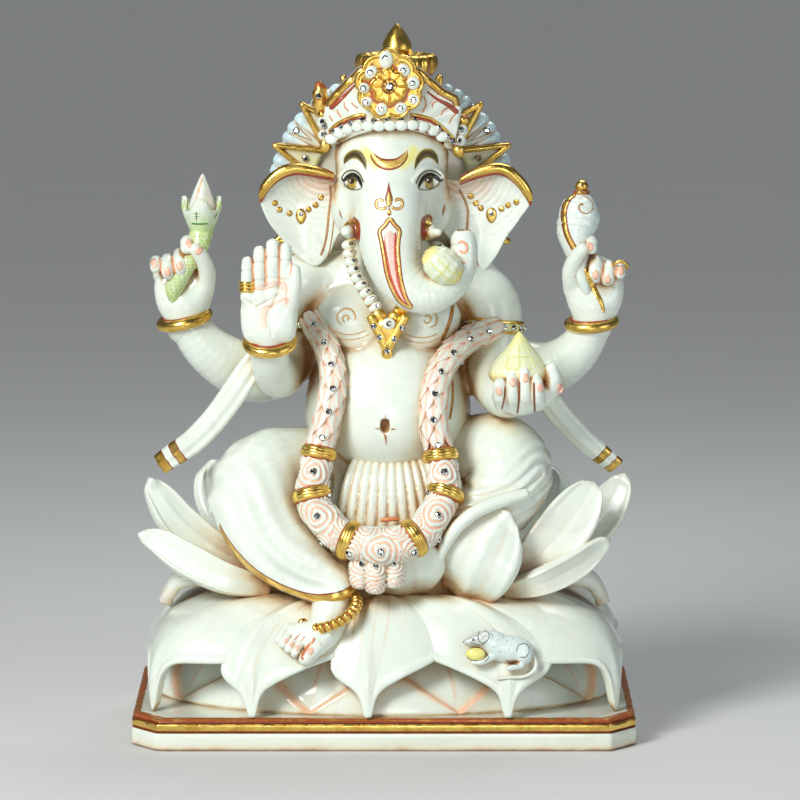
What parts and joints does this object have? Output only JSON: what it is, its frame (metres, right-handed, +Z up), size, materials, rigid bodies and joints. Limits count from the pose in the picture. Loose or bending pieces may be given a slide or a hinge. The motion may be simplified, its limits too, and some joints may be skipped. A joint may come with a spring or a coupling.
{
  "type": "ganesha idol",
  "caption": "Seated four-armed Ganesha idol carved in white marble, painted and gilded, on a lotus seat over a chamfered plinth, with halo, garland, sweets and mouse.",
  "frame": {"origin": "centre of the underside of the plinth, on the surface it stands on", "axes": "+Z up, the idol faces -Y, its own left hand is towards +X"},
  "size_m": [0.27, 0.172, 0.381],
  "materials": {
    "marble": "polished white marble with ochre stain in the creases",
    "gilding": "gold leaf paint over carved marble, burnished, with dark red edge lines",
    "peach_marble": "marble tinted with peach lines",
    "green_marble": "marble tinted with leaf green wash",
    "yellow_marble": "marble tinted with pale yellow-green wash",
    "blue_marble": "marble tinted with pale blue wash"
  },
  "bodies": {
    "root": {"plinth": "marble", "plinth_band": "gilding", "torso": "marble", "head": "marble", "right_leg": "marble", "left_leg": "marble", "right_foot": "marble", "rear_right_arm": "marble", "rear_left_arm": "marble", "front_right_arm": "marble", "front_left_arm": "marble", "front_right_hand": "marble", "rear_right_hand": "marble", "rear_left_hand": "marble", "front_left_hand": "marble", "lotus_core": "marble", "lower_petal_front": "marble", "lower_petal_front_right": "marble", "lower_petal_front_left": "marble", "lower_petal_corner_right": "marble", "lower_petal_corner_left": "marble", "lower_petal_side_right": "marble", "lower_petal_side_left": "marble", "lower_petal_back": "marble", "lower_petal_back_right": "marble", "lower_petal_back_left": "marble", "upper_petal_front": "marble", "upper_petal_front_left": "marble", "upper_petal_left_low": "marble", "upper_petal_left_mid": "marble", "upper_petal_left_outer": "marble", "upper_petal_right_outer": "marble", "upper_petal_right_low": "marble", "upper_petal_back_right": "marble", "upper_petal_back_left": "marble", "upper_petal_back": "marble", "crown": "marble", "crown_plaque": "gilding", "crown_finial": "gilding", "right_ear": "marble", "left_ear": "marble", "halo": "blue_marble", "lotus_bud": "green_marble", "conch": "marble", "hand_modak": "yellow_marble", "trunk_modak": "yellow_marble", "dhoti_pleats": "marble", "garland_swag": "peach_marble", "garland_right_strand": "peach_marble", "garland_left_strand": "peach_marble", "necklace": "gilding", "scarf_right": "marble", "scarf_left": "marble", "rear_right_bangle": "gilding", "rear_left_bangle": "gilding", "front_right_bangle": "gilding", "right_armlet": "gilding", "left_armlet": "gilding", "anklet": "gilding", "mouse": "blue_marble"}
  },
  "joints": []
}
